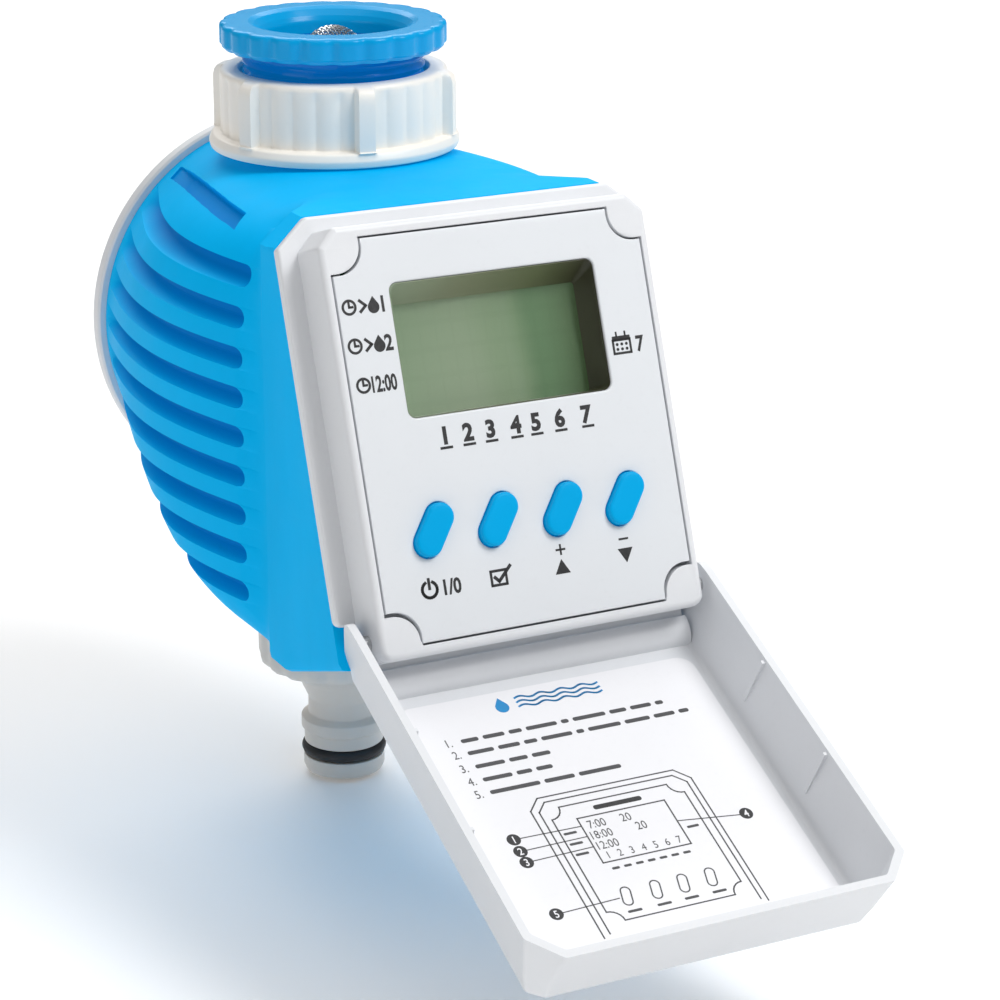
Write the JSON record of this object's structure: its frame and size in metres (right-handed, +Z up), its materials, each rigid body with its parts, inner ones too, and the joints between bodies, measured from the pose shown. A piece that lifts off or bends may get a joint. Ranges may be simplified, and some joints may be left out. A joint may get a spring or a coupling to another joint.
{
  "type": "drip irrigation timer",
  "caption": "Battery-powered tap timer: blue valve housing with tilted control panel, hinged tray lid, swivel inlet nut and hose spigot outlet.",
  "frame": {"origin": "on the inlet axis at the top face of the threaded adaptor's rim", "axes": "+Z up along the inlet towards the tap, -Y to the front where the control panel faces, X across"},
  "size_m": [0.0842, 0.1827, 0.1481],
  "materials": {
    "blue_plastic": "moulded, light gloss",
    "white_plastic": "moulded, satin",
    "panel_plastic": "printed fascia film, satin",
    "nozzle_plastic": "moulded, satin, warm grey",
    "black_rubber": "smooth rubber",
    "grey_silicone": "silicone",
    "clear_window": "clear moulded lens",
    "display_glass": "unlit liquid crystal display",
    "surround_plastic": "matte dark plastic",
    "circuit_green": "solder-masked board",
    "chip_black": "moulded epoxy",
    "label_paper": "printed film label",
    "steel": "bright steel",
    "brass": "machined brass",
    "inner_plastic": "natural moulded plastic",
    "gear_plastic": "natural acetal",
    "seal_white": "low-friction seat plastic",
    "cell_wrap": "plain printed sleeve",
    "lead_red": "wire insulation"
  },
  "bodies": {
    "housing": {"body_shell": "blue_plastic", "front_bezel": "white_plastic", "front_plate": "panel_plastic", "display_surround": "surround_plastic", "display_window": "clear_window", "lcd_module": "display_glass", "keypad": "grey_silicone", "circuit_board": "circuit_green", "controller_chip": "chip_black", "capacitor": "chip_black", "board_screw_1": "steel", "board_screw_2": "steel", "board_screw_3": "steel", "board_screw_4": "steel", "bezel_gasket": "black_rubber", "hinge_pin_left": "steel", "hinge_pin_right": "steel", "valve_body": "inner_plastic", "ball_seat_upper": "seal_white", "ball_seat_lower": "seal_white", "stem_seal": "black_rubber", "chamber_seal": "black_rubber", "outlet_spout": "nozzle_plastic", "outlet_o_ring": "black_rubber", "idler_axle": "steel", "gearbox_plate": "inner_plastic", "gearbox_cover": "inner_plastic", "gearbox_screw_1": "steel", "gearbox_screw_2": "steel", "drive_motor": "steel", "battery_tray": "inner_plastic", "tray_screw_1": "steel", "tray_screw_2": "steel", "battery_upper": "cell_wrap", "battery_lower": "cell_wrap", "contact_plate_1": "steel", "contact_plate_2": "steel", "contact_spring_1": "steel", "contact_spring_2": "steel", "bayonet_ring": "inner_plastic", "cover_gasket": "black_rubber", "battery_lead_1": "lead_red", "battery_lead_2": "lead_red"},
    "lid": {"lid": "white_plastic", "lid_label": "label_paper"},
    "nut": {"swivel_nut": "white_plastic", "inlet_washer": "black_rubber"},
    "adaptor": {"inlet_adaptor": "blue_plastic", "inlet_filter": "steel"},
    "rear_cover": {"rear_cover": "white_plastic"},
    "valve": {"valve_ball": "brass", "valve_stem": "inner_plastic", "valve_gear": "gear_plastic"},
    "idler": {"idler_gear": "gear_plastic"},
    "motor_rotor": {"motor_pinion": "brass", "motor_shaft": "steel"},
    "button_power": {"button_power": "blue_plastic"},
    "button_set": {"button_set": "blue_plastic"},
    "button_up": {"button_up": "blue_plastic"},
    "button_down": {"button_down": "blue_plastic"}
  },
  "joints": [
    {"name": "lid_hinge", "type": "hinge", "parent": "housing", "child": "lid", "pos_m": [0, -0.07994, -0.08921], "axis": [-1, 0, 0], "range_deg": [0, 134.6]},
    {"name": "power_press", "type": "slide", "parent": "housing", "child": "button_power", "axis": [0, 0.9389, -0.3442], "range_m": [0, 0.0012], "stiffness_N_per_m": 1200},
    {"name": "set_press", "type": "slide", "parent": "housing", "child": "button_set", "axis": [0, 0.9389, -0.3442], "range_m": [0, 0.0012], "stiffness_N_per_m": 1200},
    {"name": "up_press", "type": "slide", "parent": "housing", "child": "button_up", "axis": [0, 0.9389, -0.3442], "range_m": [0, 0.0012], "stiffness_N_per_m": 1200},
    {"name": "down_press", "type": "slide", "parent": "housing", "child": "button_down", "axis": [0, 0.9389, -0.3442], "range_m": [0, 0.0012], "stiffness_N_per_m": 1200},
    {"name": "nut_swivel", "type": "hinge", "parent": "housing", "child": "nut", "pos_m": [0, 0, -0.015], "axis": [0, 0, 1], "continuous": true},
    {"name": "adaptor_turn", "type": "hinge", "parent": "nut", "child": "adaptor", "pos_m": [0, 0, -0.006], "axis": [0, 0, 1], "continuous": true},
    {"name": "cover_twist", "type": "hinge", "parent": "housing", "child": "rear_cover", "pos_m": [0, 0.028, -0.06], "axis": [0, -1, 0], "range_deg": [0, 32]},
    {"name": "valve_turn", "type": "hinge", "parent": "housing", "child": "valve", "pos_m": [0, 0, -0.06], "axis": [0, 1, 0], "range_deg": [0, 90]},
    {"name": "idler_turn", "type": "hinge", "parent": "housing", "child": "idler", "pos_m": [0.015, 0, -0.06], "axis": [0, 1, 0], "range_deg": [-360, 0]},
    {"name": "motor_turn", "type": "hinge", "parent": "housing", "child": "motor_rotor", "pos_m": [0.027, 0, -0.06], "axis": [0, 1, 0], "range_deg": [0, 1080]}
  ],
  "couplings": [
    {"joint": "idler_turn", "follows": "valve_turn", "ratio": -4},
    {"joint": "motor_turn", "follows": "valve_turn", "ratio": 12}
  ]
}
